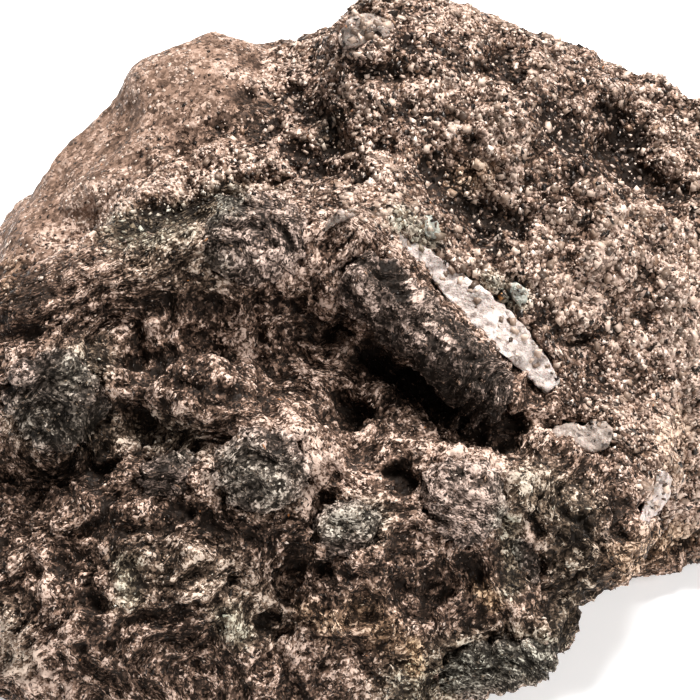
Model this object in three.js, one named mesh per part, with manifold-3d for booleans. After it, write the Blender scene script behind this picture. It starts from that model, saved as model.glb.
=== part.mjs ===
// A hand specimen of alexandrite in mica schist: one lump of dark schist that holds blocky six-sided
// alexandrite crystals, a pale quartz vein and some quartz and green grains.
// Lengths are millimetres. +Z is up, and the specimen rests on its flat spot in the plane z = 0.
//
// The stone is laid out on its show face, which leans back and looks up at the viewer. A place on it is
// [across, up, out]: across to the right, up along the leaning face, and out of the stone.
import * as THREE from "three";
import { ImprovedNoise } from "three/addons/math/ImprovedNoise.js";
import { mergeVertices } from "three/addons/utils/BufferGeometryUtils.js";
import Module from "manifold-3d";

const wasm = await Module();
wasm.setup();

// Driving dimensions.
const LEAN = THREE.MathUtils.degToRad(35);
const FACE_HEIGHT = 28; // height of the show face's own centre above the rest plane
const GAP = 0.3; // clearance between a grain and its socket
const REACH = 80; // farther from the heart than any point of the stone
const QUARTZ_PROUD = 0.35; // how far the weathered-out quartz stands above the schist
const HEART = new THREE.Vector3(0, -4, -14);

// The skin's mesh: subdivisions of an icosahedron, and how far its points are drawn to the show face.
const SKIN_DETAIL = 14;
const SKIN_PULL = 0.42;

// Blend radii: masses melt into each other, knobs and hollows stay crisper.
const MASS_BLEND = 6;
const KNOB_BLEND = 2;
const HOLLOW_BLEND = 2;
const UNDER_BLEND = 3;

// Show face axes in the part's frame.
const ACROSS = new THREE.Vector3(1, 0, 0);
const UP = new THREE.Vector3(0, Math.sin(LEAN), Math.cos(LEAN));
const OUT = new THREE.Vector3(0, -Math.cos(LEAN), Math.sin(LEAN));
const FACE = new THREE.Matrix4().makeBasis(ACROSS, UP, OUT).setPosition(0, 0, FACE_HEIGHT);

const heightOf = (p) => FACE_HEIGHT + p.y * UP.z + p.z * OUT.z;

// An ellipsoid on the show face: its centre, half-sizes and turn in degrees in the face's plane.
function lump(at, half, turn = 0) {
  const angle = THREE.MathUtils.degToRad(turn);
  return { at, half, cos: Math.cos(angle), sin: Math.sin(angle) };
}

// The big forms of the stone.
const masses = [
  lump([0, -3, -16], [36, 27, 19]), // core
  lump([-9, -24, 1], [27, 18, 13.5]), // front boss
  lump([-26, -25, 3], [15, 13.5, 10]), // front boss, lower left
  lump([9, -20, -3], [15, 13.5, 13], -35), // front boss, right side
  lump([-30, -8, -6], [13, 15, 12]), // left flank
  lump([-14, 7.5, -4], [23, 7.5, 9], 15), // upper left shoulder
  lump([-17, 11.5, -27], [26, 13.6, 16], 43), // back, left side
  lump([-14.5, 19.5, -25], [10.5, 11, 12]), // back, left side, top
  lump([6.2, 22.6, -16], [10.8, 14.4, 11]), // peak
  lump([17, 19, -18], [13, 13.5, 11]), // shoulder right of the peak
  lump([24, 4, -17], [21, 22, 14]), // right plate
  lump([30, 11, -21], [13, 12, 11], -25), // right plate, upper corner
  lump([31, -14.6, -21.4], [15, 11.4, 12]), // right foot
  lump([4, 2, -29], [34, 24, 18]), // back
  lump([-13, -6, -37], [17, 13, 9], 20), // back, lower left boss
  lump([19, 9, -38], [13, 10, 9], -15), // back, upper right boss
];

// Rounded knobs and ridges that stand out of the big forms.
const knobs = [
  lump([-10.5, 11, 2.5], [7.5, 5, 5], 8), // bed of the shoulder crystal
  lump([-24, 6.5, 2], [12, 3, 4.5], 22), // crest that runs down to the left
  lump([0.6, 9, 3], [5, 4.6, 4.5], -30), // head of the lower ridge
  lump([7.9, 1.5, 4], [11, 3.2, 4.5], -43), // bed of the long crystal
  lump([-28.6, -4.6, 4], [7.6, 7, 6]), // bed of the left crystal
  lump([-15, -4.5, 8], [6, 3.6, 4], -8), // small boss under the shoulder
  lump([-8.5, -12.5, 9], [6.5, 6, 5]), // bed of the middle crystal
  lump([11, -15, 8], [6, 6, 5]), // bed of the right crystal
  lump([-0.4, -18.6, 9], [5, 4.6, 5]), // bed of the low crystal
  lump([-18, -14, 8.5], [4.5, 5, 4], 20), // bed of the slab
  lump([-12, -27.5, 7.5], [10, 6.5, 6], -6), // lower boss
  lump([-30, -27, 4], [8, 6.5, 5]), // lower left boss
  lump([22, -17, 2], [8, 6, 6], -35), // right boss
  lump([27, -12.5, -3], [7, 6, 6], -50), // rim beside the right foot
  lump([16.4, -28.8, 3], [6.8, 7.2, 5]), // lower right boss
  lump([5, -31, 7], [8, 5, 5]), // bottom boss
  lump([0.8, 30.2, -9], [4.2, 4.2, 4]), // knob of the peak
  lump([16.4, 22.4, -7], [3.6, 4, 4]), // bright knob below the peak
  lump([0.4, 17, -4], [4, 3, 4], 30), // low knob above the ridge's head
  lump([25, 13, -7], [4, 8, 5], 20), // rib between the troughs
  lump([37, 17, -15], [5, 11, 6], 25), // raised rim of the right plate
  lump([-26, 20, -22], [9, 4, 5], 43), // shelf of the back's left side
  lump([12, -14, -40], [10, 6, 6], 10), // shelf low on the back
  lump([-4, 20, -36], [12, 5, 6], -10), // shelf high on the back
];

// Hollows, pits and clefts.
const hollows = [
  lump([7.2, -4.4, 6], [10, 2.8, 8], -36), // shadowed hollow under the long crystal
  lump([14.6, -8, 6], [4, 1.8, 8], -30), // its lower end
  lump([-0.6, 2.4, 7], [3, 2.8, 8], -20), // its upper end
  lump([0.5, -5.5, 6], [2, 2.4, 6]), // deep pit in the hollow's left end
  lump([-19, 3.4, 12], [17, 2.4, 6.5], 6), // groove under the shoulder
  lump([-3.4, 7, 9], [1.8, 6, 5], -12), // cleft between shoulder and ridge
  lump([-17, -8.4, 13], [8, 1.8, 5], 4), // groove under the small boss
  lump([-34, -14, 9], [12, 3.6, 7], 10), // groove of the left flank
  lump([-22, -19, 14], [6, 2.4, 4.5], -10), // groove above the lower boss
  lump([-2.6, -15, 14], [1.6, 5, 4], 20), // cleft right of the middle crystal
  lump([-8, -22, 14.5], [8, 1.8, 4], -8), // groove under the middle crystal
  lump([-7.6, -26.8, 14], [1.8, 2, 4]), // small pit
  lump([4.8, -12.4, 12.5], [2, 3, 4.5]), // pit between two crystals
  lump([6, -23.5, 13], [7, 1.8, 4], 20), // groove above the bottom boss
  lump([17.5, -21, 10], [1.4, 7, 4], 32), // cleft beside the right crystal
  lump([13, 15.5, -1], [7, 2.6, 4], -48), // dark trough of the right plate
  lump([21.5, 22, -2], [3.4, 2.6, 4]), // dip above it
  lump([29.5, 19.5, -9], [7.5, 3, 6], -60), // trough inside the rim
  lump([30, 5, -1], [2, 9, 3.6], 6), // shallow trough down the right plate
  lump([-8, 17.5, 1], [16, 3.4, 8], 16), // step behind the crest
  lump([-27, 14, -6], [12, 3, 8], 40), // step behind the crest's left end
  lump([2, 3, -50], [5, 16, 6], 25), // trough down the back
  lump([-7, 36, -20], [5, 4.6, 14]), // step left of the peak
];

const noise = new ImprovedNoise();
const SWELL = { pitch: 12, height: 1.5 };
const ROUGH = { pitch: 5, height: 0.8 };
const LEDGE = { pitch: 5, height: 0.9, share: 0.3 };

const wave = (p, pitch) => noise.noise(p.x / pitch, p.y / pitch, p.z / pitch);

// Split sheets of mica end in low steps: the height climbs over a share of each pitch and falls over
// the rest.
function ledge(p) {
  const turns = (p.z * 0.8 + p.y * 0.5 + 4 * wave(p, 2 * SWELL.pitch)) / LEDGE.pitch;
  const phase = turns - Math.floor(turns);
  return LEDGE.height * THREE.MathUtils.smoothstep(phase, 0, LEDGE.share) * (1 - phase);
}

function relief(p) {
  return SWELL.height * wave(p, SWELL.pitch) + ROUGH.height * wave(p, ROUGH.pitch) + ledge(p);
}

function lumpDistance(p, { at, half, cos, sin }) {
  const x = p.x - at[0];
  const y = p.y - at[1];
  const z = p.z - at[2];
  const along = x * cos + y * sin;
  const beside = y * cos - x * sin;
  const near = Math.hypot(along / half[0], beside / half[1], z / half[2]);
  const slope = Math.hypot(along / half[0] ** 2, beside / half[1] ** 2, z / half[2] ** 2);
  return slope < 1e-9 ? -Math.min(...half) : (near * (near - 1)) / slope;
}

function blend(a, b, radius) {
  const overlap = Math.max(radius - Math.abs(a - b), 0) / radius;
  return Math.min(a, b) - (overlap * overlap * radius) / 4;
}

// The underside rises gently away from the level spots that the specimen rests on.
const restSpots = [
  { at: [-4, 4], radius: 17 },
  { at: [-26, -16], radius: 9 }, // under the front boss
  { at: [30, 6], radius: 9 }, // under the right foot
];
const UNDER_RISE = 0.08;

function undersideHeight(p) {
  const y = p.y * UP.y + p.z * OUT.y;
  const rises = restSpots.map(({ at, radius }) => {
    const away = (p.x - at[0]) ** 2 + (y - at[1]) ** 2;
    return (UNDER_RISE * (away - radius ** 2)) / radius;
  });
  return Math.min(...rises);
}

// Signed distance to the schist's skin, negative inside.
function stoneDistance(p) {
  let d = REACH;
  for (const one of masses) d = blend(d, lumpDistance(p, one), MASS_BLEND);
  for (const one of knobs) d = blend(d, lumpDistance(p, one), KNOB_BLEND);
  for (const one of hollows) d = -blend(-d, lumpDistance(p, one), HOLLOW_BLEND);
  d = -blend(-d, heightOf(p) - undersideHeight(p), UNDER_BLEND);
  return d - relief(p);
}

// Walks inwards along a ray from the heart to the outermost skin, then halves the last step.
function skinRadius(direction, proud) {
  const p = new THREE.Vector3();
  const at = (r) => stoneDistance(p.copy(direction).multiplyScalar(r).add(HEART)) - proud;
  const step = 0.8;
  let r = REACH;
  while (r > step && at(r) > 0) r -= step;
  let inside = r;
  let outside = r + step;
  for (let k = 0; k < 12; k++) {
    const middle = (inside + outside) / 2;
    if (at(middle) > 0) outside = middle;
    else inside = middle;
  }
  return inside;
}

// Height of the skin above the plane of the show face at a place on it.
function skinOut(across, up) {
  const p = new THREE.Vector3(across, up, REACH / 2);
  while (stoneDistance(p) > 0) p.z -= 0.2;
  return p.z;
}

// The stone as a closed skin around its heart, cut level where it rests.
function stoneGeometry(proud) {
  const skin = new THREE.IcosahedronGeometry(1, SKIN_DETAIL);
  skin.deleteAttribute("normal");
  skin.deleteAttribute("uv");
  const geometry = mergeVertices(skin, 1e-5);
  const position = geometry.getAttribute("position");
  const v = new THREE.Vector3();
  for (let i = 0; i < position.count; i++) {
    v.fromBufferAttribute(position, i).normalize();
    v.z += SKIN_PULL;
    v.normalize();
    const fall = v.y * UP.z + v.z * OUT.z;
    const toRest = fall < 0 ? heightOf(HEART) / -fall : REACH;
    v.multiplyScalar(Math.min(skinRadius(v, proud), toRest)).add(HEART);
    position.setXYZ(i, v.x, v.y, v.z);
  }
  return geometry;
}

// Between three.js geometry and a solid that can be joined and cut.
function toSolid(geometry) {
  const bare = geometry.clone();
  bare.deleteAttribute("normal");
  bare.deleteAttribute("uv");
  const merged = mergeVertices(bare, 1e-4);
  return new wasm.Manifold(
    new wasm.Mesh({
      numProp: 3,
      vertProperties: new Float32Array(merged.getAttribute("position").array),
      triVerts: new Uint32Array(merged.index.array),
    }),
  );
}

function toGeometry(solid) {
  const { vertProperties, triVerts } = solid.getMesh();
  const geometry = new THREE.BufferGeometry();
  geometry.setAttribute("position", new THREE.BufferAttribute(vertProperties, 3));
  geometry.setIndex(new THREE.BufferAttribute(triVerts, 1));
  geometry.computeVertexNormals();
  return geometry;
}

// A cut can free a crumb of stone, which is dropped.
function mainBody(solid) {
  return solid.decompose().reduce((best, one) => (one.volume() > best.volume() ? one : best));
}

// The end of a crystal: an uneven hexagon with each corner worn to a short flat.
const CORNER_WEAR = 0.2;

function endOutline(halfWidth, halfHeight) {
  const corner = (k) => {
    const angle = THREE.MathUtils.degToRad(60 * k + 7 * Math.sin(3 * k + halfWidth));
    return new THREE.Vector2(halfWidth * Math.cos(angle), halfHeight * Math.sin(angle));
  };
  const flats = [0, 1, 2, 3, 4, 5].flatMap((k) => [
    corner(k).lerp(corner(k + 5), CORNER_WEAR),
    corner(k).lerp(corner(k + 1), CORNER_WEAR),
  ]);
  return new THREE.Shape(flats);
}

// Wear leaves the faces of a crystal slightly uneven.
const WEAR = { pitch: 5, height: 0.5 };

function wearDown(geometry) {
  const position = geometry.getAttribute("position");
  const p = new THREE.Vector3();
  for (let i = 0; i < position.count; i++) {
    p.fromBufferAttribute(position, i);
    const shift = WEAR.height * wave(p, WEAR.pitch);
    position.setXYZ(i, p.x + shift, p.y - shift, p.z + shift);
  }
  return geometry;
}

// A six-sided block about the origin with rounded edges, its prism axis along z, larger by grow all round.
function blockGeometry({ width, height, depth, bevel }, grow) {
  const halfWidth = width / 2 - bevel + grow;
  const halfHeight = height / 2 - bevel + grow;
  const rise = depth + 2 * grow - 2 * bevel;
  const block = new THREE.ExtrudeGeometry(endOutline(halfWidth, halfHeight), {
    depth: rise,
    bevelEnabled: true,
    bevelThickness: bevel,
    bevelSize: bevel,
    bevelSegments: 3,
    steps: 1,
  });
  return block.translate(0, 0, -rise / 2);
}

// A crystal whose prism axis is out of the show face, turned in the face's plane, then tipped over (about
// across) and sideways (about up). Its crown stands proud of the skin around it.
function crystalGeometry({ at: [across, up], size, proud, turn = 0, tip = 0, side = 0, bevel = 2 }, grow) {
  const [width, height, depth] = size;
  const { degToRad } = THREE.MathUtils;
  const block = blockGeometry({ width, height, depth, bevel }, grow);
  block.rotateZ(degToRad(turn));
  block.rotateX(degToRad(tip));
  block.rotateY(degToRad(side));
  return wearDown(block.translate(across, up, skinOut(across, up) + proud - depth / 2));
}

const crystals = [
  {
    name: "alexandrite_shoulder",
    at: [-9.6, 10.6],
    size: [11, 8.6, 9],
    proud: 0.8,
    turn: 12,
    tip: -18,
    side: 4,
  },
  { name: "alexandrite_left", at: [-28.6, -5], size: [9.8, 10, 10], proud: 0.8, turn: 8, side: -14 },
  { name: "alexandrite_middle", at: [-8.5, -12], size: [9.2, 8.6, 9], proud: 0.9, turn: 24, tip: -4 },
  { name: "alexandrite_right", at: [11, -15], size: [8.2, 8.6, 9], proud: 0.9, turn: -20, side: 8 },
  { name: "alexandrite_low", at: [-0.4, -17.9], size: [7, 5.8, 8], proud: 1.6, turn: 15, tip: 4 },
  {
    name: "alexandrite_slab",
    at: [-17.4, -13],
    size: [7, 5, 7],
    proud: 0.7,
    turn: 18,
    tip: -12,
    bevel: 1.4,
  },
  {
    name: "alexandrite_blade",
    at: [16.9, -20.4],
    size: [3.4, 7.4, 7],
    proud: 0.9,
    turn: 4,
    side: 12,
    bevel: 1,
  },
  {
    name: "alexandrite_foot",
    at: [13.6, -30.6],
    size: [14, 5, 7],
    proud: 1.2,
    turn: 10,
    tip: 22,
    bevel: 1.2,
  },
];

// The long crystal lies along the face, pointing down to the right.
const LONG_CRYSTAL = {
  name: "alexandrite_long",
  at: [7.6, 1.2],
  size: { width: 7, height: 6.2, depth: 20.6, bevel: 2 },
  proud: 2,
  slope: -43,
};

function longCrystalGeometry({ at: [across, up], size, proud, slope }, grow) {
  const bar = blockGeometry(size, grow);
  bar.rotateY(Math.PI / 2);
  bar.rotateZ(THREE.MathUtils.degToRad(slope));
  return wearDown(bar.translate(across, up, skinOut(across, up) + proud - size.width / 2));
}

// Quartz and pale green grains: an outline on the show face that runs back into the stone to a floor.
function ellipseOutline([across, up], [halfWidth, halfHeight], turn) {
  const angle = THREE.MathUtils.degToRad(turn);
  return (grow) => {
    const shape = new THREE.Shape();
    shape.absellipse(across, up, halfWidth + grow, halfHeight + grow, 0, 2 * Math.PI, false, angle);
    return shape;
  };
}

// A band of varying width along a centreline.
const BAND_STEPS = 9;

function bandOutline(line, halfWidths) {
  const curve = new THREE.SplineCurve(line.map(([x, y]) => new THREE.Vector2(x, y)));
  const halfAt = (t) => {
    const place = t * (halfWidths.length - 1);
    const low = Math.min(Math.floor(place), halfWidths.length - 2);
    return THREE.MathUtils.lerp(halfWidths[low], halfWidths[low + 1], place - low);
  };
  return (grow) => {
    const left = [];
    const right = [];
    for (let k = 0; k <= BAND_STEPS; k++) {
      const t = k / BAND_STEPS;
      const p = curve.getPoint(t);
      const d = curve.getTangent(t).multiplyScalar(halfAt(t) + grow);
      left.push(new THREE.Vector2(p.x - d.y, p.y + d.x));
      right.unshift(new THREE.Vector2(p.x + d.y, p.y - d.x));
    }
    return new THREE.Shape([...left, ...right]);
  };
}

const VEIN_LINE = [
  [3.4, 12.6],
  [5.2, 11],
  [7.8, 8.8],
  [10.8, 6.2],
  [14, 3.2],
  [17.2, 0],
  [20.4, -3.8],
];
const VEIN_HALF_WIDTHS = [0.5, 0.8, 1.1, 1.6, 2, 1.9, 1];
const STRINGER_LINE = [[-3, 11.8], [-1.2, 13], [0.6, 13.8]];
const STRINGER_HALF_WIDTHS = [0.4, 0.5, 0.4];
const BLEB_LINE = [[20, -9.6], [21.8, -8.4], [23.8, -8.8], [26, -7.6]];
const BLEB_HALF_WIDTHS = [0.6, 1.5, 1.1, 1.7, 0.8];
const RIM_LINE = [[28.8, -17.4], [30.4, -15.2], [31.4, -12.2]];
const RIM_HALF_WIDTHS = [0.5, 1.2, 0.6];
const PEAK_LINE = [[-1, 31], [1.6, 32.4], [4.4, 32.4]];
const PEAK_HALF_WIDTHS = [0.7, 1.9, 0.8];

const veins = [
  {
    name: "quartz_vein",
    outline: bandOutline(VEIN_LINE, VEIN_HALF_WIDTHS),
    floor: -6,
    tone: "quartz",
  },
  {
    name: "quartz_stringer",
    outline: bandOutline(STRINGER_LINE, STRINGER_HALF_WIDTHS),
    floor: -5,
    tone: "quartz",
  },
  {
    name: "quartz_bleb",
    outline: bandOutline(BLEB_LINE, BLEB_HALF_WIDTHS),
    floor: -8,
    tone: "quartz",
  },
  {
    name: "quartz_rim",
    outline: bandOutline(RIM_LINE, RIM_HALF_WIDTHS),
    floor: -9,
    tone: "quartz",
  },
  {
    name: "quartz_peak",
    outline: bandOutline(PEAK_LINE, PEAK_HALF_WIDTHS),
    floor: -16,
    tone: "quartz",
  },
  {
    name: "green_grain_upper",
    outline: ellipseOutline([7.9, 12.2], [1.4, 1], -40),
    floor: -7,
    tone: "green",
  },
  {
    name: "green_grain_lower",
    outline: ellipseOutline([16.8, 5.8], [1.5, 1.1], -45),
    floor: -8,
    tone: "green",
  },
];

function veinSolid({ outline, floor }, grow) {
  const prism = new THREE.ExtrudeGeometry(outline(grow), {
    depth: REACH,
    bevelEnabled: false,
    curveSegments: 6,
  });
  return toSolid(prism.translate(0, 0, floor - grow));
}

const materials = {
  schist: new THREE.MeshStandardMaterial({ color: 0x4a3d36, roughness: 0.7, metalness: 0 }),
  alexandrite: new THREE.MeshStandardMaterial({ color: 0x27332f, roughness: 0.4, metalness: 0 }),
  quartz: new THREE.MeshStandardMaterial({ color: 0xcdbfb6, roughness: 0.35, metalness: 0 }),
  green: new THREE.MeshStandardMaterial({ color: 0x8fa595, roughness: 0.3, metalness: 0 }),
};

// Every solid of the specimen, still laid out on the show face.
function solids() {
  const made = [];
  const blocks = crystals.map((c) => ({ name: c.name, shape: (grow) => crystalGeometry(c, grow) }));
  blocks.push({ name: LONG_CRYSTAL.name, shape: (grow) => longCrystalGeometry(LONG_CRYSTAL, grow) });
  const sockets = blocks.map(({ shape }) => toSolid(shape(GAP)));

  const proudStone = toSolid(stoneGeometry(QUARTZ_PROUD));
  let schist = toSolid(stoneGeometry(0));
  for (const vein of veins) {
    let grain = proudStone.intersect(veinSolid(vein, 0));
    for (const socket of sockets) grain = grain.subtract(socket);
    made.push({ name: vein.name, solid: mainBody(grain), tone: vein.tone });
    schist = schist.subtract(veinSolid(vein, GAP));
  }
  for (const socket of sockets) schist = schist.subtract(socket);
  for (const { name, shape } of blocks) made.push({ name, solid: toSolid(shape(0)), tone: "alexandrite" });
  made.push({ name: "schist_matrix", solid: mainBody(schist), tone: "schist" });
  return made;
}

// Stands the specimen on its flat spot, with the middle of its plan over the origin.
function build() {
  const specimen = new THREE.Group();
  for (const { name, solid, tone } of solids()) {
    const mesh = new THREE.Mesh(toGeometry(solid).applyMatrix4(FACE), materials[tone]);
    mesh.name = name;
    specimen.add(mesh);
  }
  const middle = new THREE.Box3().setFromObject(specimen).getCenter(new THREE.Vector3());
  for (const mesh of specimen.children) mesh.geometry.translate(-middle.x, -middle.y, 0);
  return specimen;
}

export default build();
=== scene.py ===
import math

import bmesh
import bpy
import numpy as np
from mathutils import Euler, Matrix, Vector
from mathutils.bvhtree import BVHTree


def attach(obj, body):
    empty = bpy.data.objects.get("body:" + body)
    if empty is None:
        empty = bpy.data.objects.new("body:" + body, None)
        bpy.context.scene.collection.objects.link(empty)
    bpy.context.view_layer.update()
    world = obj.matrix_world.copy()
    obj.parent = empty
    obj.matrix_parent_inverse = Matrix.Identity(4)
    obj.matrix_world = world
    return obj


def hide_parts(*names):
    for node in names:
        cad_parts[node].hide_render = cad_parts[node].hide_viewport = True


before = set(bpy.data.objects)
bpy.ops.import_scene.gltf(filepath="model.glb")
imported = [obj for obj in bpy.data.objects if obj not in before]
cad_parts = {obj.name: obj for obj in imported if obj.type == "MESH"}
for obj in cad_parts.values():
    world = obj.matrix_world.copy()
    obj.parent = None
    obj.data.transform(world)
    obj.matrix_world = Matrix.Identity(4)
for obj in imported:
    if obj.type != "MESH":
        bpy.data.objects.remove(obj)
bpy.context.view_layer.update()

# The view. The specimen lies on a pale table and its show face leans back, so the camera looks down
# on it squarely. The photograph spans 70 mm at the middle of that face, and crops the stone all round.
LEAN = math.radians(35)
ACROSS = Vector((1, 0, 0))
UP = Vector((0, math.sin(LEAN), math.cos(LEAN)))
OUT = Vector((0, -math.cos(LEAN), math.sin(LEAN)))
FACE_MIDDLE = Vector((-0.00142, -0.00836, 0.028))
CAMERA_DISTANCE = 0.6
FARTHEST_SEEN = 5
PHOTO_SPAN = 0.07
SENSOR = 36.0

camera = bpy.data.objects.new("camera", bpy.data.cameras.new("camera"))
camera.data.sensor_width = SENSOR
camera.data.lens = SENSOR * CAMERA_DISTANCE / PHOTO_SPAN
camera.data.clip_end = FARTHEST_SEEN
camera.location = FACE_MIDDLE + OUT * CAMERA_DISTANCE
camera.rotation_euler = OUT.to_track_quat("Z", "Y").to_euler()
bpy.context.scene.collection.objects.link(camera)
bpy.context.scene.camera = camera
bpy.context.scene.view_settings.view_transform = "Standard"

# The floor. A wide flat sheet of plain white paper lies under the specimen. It glows a little, so it
# washes out in the picture but for the soft shadow at the stone's foot.
FLOOR_HALF_SIDE = 1.5
PAPER_COLOUR = (0.9, 0.9, 0.9, 1)
PAPER_ROUGHNESS = 0.9
PAPER_GLOW = 0.42

floor_form = bmesh.new()
bmesh.ops.create_grid(floor_form, x_segments=1, y_segments=1, size=FLOOR_HALF_SIDE)
floor = bpy.data.objects.new("paper_floor", bpy.data.meshes.new("paper_floor"))
floor_form.to_mesh(floor.data)
floor_form.free()
bpy.context.scene.collection.objects.link(floor)
paper = bpy.data.materials.new("white paper")
paper.use_nodes = True
paper_shader = paper.node_tree.nodes["Principled BSDF"]
paper_shader.inputs["Base Color"].default_value = PAPER_COLOUR
paper_shader.inputs["Roughness"].default_value = PAPER_ROUGHNESS
paper_shader.inputs["Emission Color"].default_value = (1, 1, 1, 1)
paper_shader.inputs["Emission Strength"].default_value = PAPER_GLOW
floor.data.materials.append(paper)

# The light. A wide soft box hangs over the specimen and a little behind it, so that ledges shade what
# lies under them. A weak one fills from the front right, and the room is dim and white.
SOFT_BOX_WIDTH = 0.4
ROOM_COLOUR = (1, 0.99, 0.98, 1)
ROOM_STRENGTH = 0.22


def soft_box(name, place, power):
    light = bpy.data.objects.new(name, bpy.data.lights.new(name, "AREA"))
    light.data.shape = "DISK"
    light.data.size = SOFT_BOX_WIDTH
    light.data.energy = power
    light.location = place
    light.rotation_euler = (Vector(place) - FACE_MIDDLE).to_track_quat("Z", "Y").to_euler()
    bpy.context.scene.collection.objects.link(light)


soft_box("overhead soft box", place=(0.12, 0.2, 0.75), power=15)
soft_box("right fill", place=(0.65, -0.45, 0.42), power=4.5)
room = bpy.data.worlds.new("room")
room.use_nodes = True
room.node_tree.nodes["Background"].inputs["Color"].default_value = ROOM_COLOUR
room.node_tree.nodes["Background"].inputs["Strength"].default_value = ROOM_STRENGTH
bpy.context.scene.world = room


# The schist. One lump of dark mica schist: paper-thin flakes of mica pressed into sheets, which wrap
# round the crystals and split off in ledges. Its skin starts as an even mesh of the solid's own form,
# drawn finer on the show face, and is then broken up into swells, clumps and ledges.
MM = 0.001
MM_PER_METRE = 1000
SKIN_PITCH = 0.00087
SKIN_WEAR = 7
WEAR_STRENGTH = 0.5
SAME_POINT = 1e-6
FACING_VIEWER = 0.02
REST_LEVEL = 0.0


def solid_copy(name, node, pitch, wear):
    """An even mesh of a CAD node, with the facets' edges worn off."""
    form = bmesh.new()
    form.from_mesh(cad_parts[node].data)
    bmesh.ops.remove_doubles(form, verts=form.verts, dist=SAME_POINT)
    mesh = bpy.data.meshes.new(name)
    form.to_mesh(mesh)
    form.free()
    piece = bpy.data.objects.new(name, mesh)
    bpy.context.scene.collection.objects.link(piece)
    even = piece.modifiers.new("even mesh", "REMESH")
    even.mode = "VOXEL"
    even.voxel_size = pitch
    even.use_smooth_shade = True
    worn = piece.modifiers.new("wear", "SMOOTH")
    worn.factor = WEAR_STRENGTH
    worn.iterations = wear
    settle(piece)
    return piece


def settle(piece):
    """Makes what the modifiers show the piece's own mesh."""
    depsgraph = bpy.context.evaluated_depsgraph_get()
    mesh = bpy.data.meshes.new_from_object(piece.evaluated_get(depsgraph))
    piece.modifiers.clear()
    piece.data = mesh
    mesh.name = piece.name


def refine_show_face(piece):
    """Halves the mesh's pitch where the surface faces the viewer."""
    form = bmesh.new()
    form.from_mesh(piece.data)
    seen = [f for f in form.faces if f.normal.dot(OUT) > FACING_VIEWER]
    edges = {e for f in seen for e in f.edges}
    bmesh.ops.subdivide_edges(form, edges=list(edges), cuts=1, use_grid_fill=True)
    bmesh.ops.triangulate(form, faces=[f for f in form.faces if len(f.verts) > 4])
    form.to_mesh(piece.data)
    form.free()


def points_of(mesh):
    flat = np.empty(len(mesh.vertices) * 3)
    mesh.vertices.foreach_get("co", flat)
    return flat.reshape(-1, 3)


def normals_of(mesh):
    flat = np.empty(len(mesh.vertices) * 3, dtype=np.float32)
    mesh.vertex_normals.foreach_get("vector", flat)
    return flat.reshape(-1, 3).astype(float)


def move_points(mesh, points):
    mesh.vertices.foreach_set("co", points.astype(np.float32).ravel())
    mesh.update()


def on_face(points):
    """Places in metres as across, up and out on the show face, in millimetres."""
    axes = np.array([ACROSS, UP, OUT])
    return (points - np.array(FACE_MIDDLE)) @ axes.T * MM_PER_METRE


# Large whole numbers that scramble a cell's number, so that neighbours have nothing in common.
CELL_SCRAMBLE = np.array([73856093, 19349663, 83492791])
SEED_SCRAMBLE = 2654435761
LAST_SCRAMBLE = 1274126177
THIRTY_TWO_BITS = 0xFFFFFFFF
SIXTEEN_BITS = 0xFFFF
SEED_SHIFT = 7.31


def random_at(cells, seed):
    """A fixed random number from 0 to 1 for each whole-numbered cell."""
    mixed = (cells * CELL_SCRAMBLE).sum(axis=-1) + seed * SEED_SCRAMBLE
    mixed = (mixed ^ (mixed >> 13)) * LAST_SCRAMBLE & THIRTY_TWO_BITS
    return ((mixed ^ (mixed >> 16)) & SIXTEEN_BITS) / float(SIXTEEN_BITS)


def bumps(points, pitch, seed):
    """Smooth random relief from -1 to 1, with bumps about a pitch apart."""
    place = points / pitch + seed * SEED_SHIFT
    cell = np.floor(place).astype(np.int64)
    part = place - cell
    part = part * part * (3 - 2 * part)
    total = 0
    for corner in np.ndindex(2, 2, 2):
        weight = np.where(corner, part, 1 - part).prod(axis=1)
        total = total + weight * random_at(cell + np.array(corner), seed)
    return total * 2 - 1


FAR_OFF = 9.0
CREASE_WIDTH = 0.6


def clumps(points, pitch, seed):
    """Rounded lumps of uneven size: 1 on top of each, falling to 0 in the creases between them."""
    place = points / pitch
    cell = np.floor(place).astype(np.int64)
    nearest = np.full(len(points), FAR_OFF)
    second = np.full(len(points), FAR_OFF)
    for step in np.ndindex(3, 3, 3):
        there = cell + np.array(step) - 1
        seat = np.stack([random_at(there, seed + k) for k in range(3)], axis=1)
        distance = np.linalg.norm(there + seat - place, axis=1)
        second = np.minimum(second, np.maximum(distance, nearest))
        nearest = np.minimum(nearest, distance)
    return np.clip(second - nearest, 0, CREASE_WIDTH) / CREASE_WIDTH


def waves(face, height, pitch, seed):
    return height * bumps(face, pitch, seed)


def lumps(face, height, pitch, seed):
    return height * (clumps(face, pitch, seed) - 0.5)


# Middles of the knobs that the sheets of mica wrap round, on the show face and round the back, in mm.
KNOBS = np.array([
    (-13, 8.5, 0), (-30, -7.6, 1), (-8.7, -12, 6), (8, -18.6, 4), (-3.5, -21.6, 5),
    (-20.5, -16, 3), (-15, -30.5, 5), (-33, -24, 2), (11, -36, 0), (27, -14, -2), (3, 9, -2),
    (16, -4, -3), (5, 30, -14), (20, 21, -14), (32, 8, -16), (-8.6, 16.6, -12), (-28, 12, -24),
    (30, -13, -22), (-14, -4, -38), (19, 9, -38), (2, 20, -34), (34, -2, -30), (-36, -4, -14),
    (4, -18, -34), (2.4, -26.6, 4), (-22.4, 1, 0),
])
KNOB_STRETCH = (1, 1, 0.35)
WRAP = 3.0
PILE_RISES_UP = 0.25
PILE_RISES_OUT = 0.3


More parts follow.
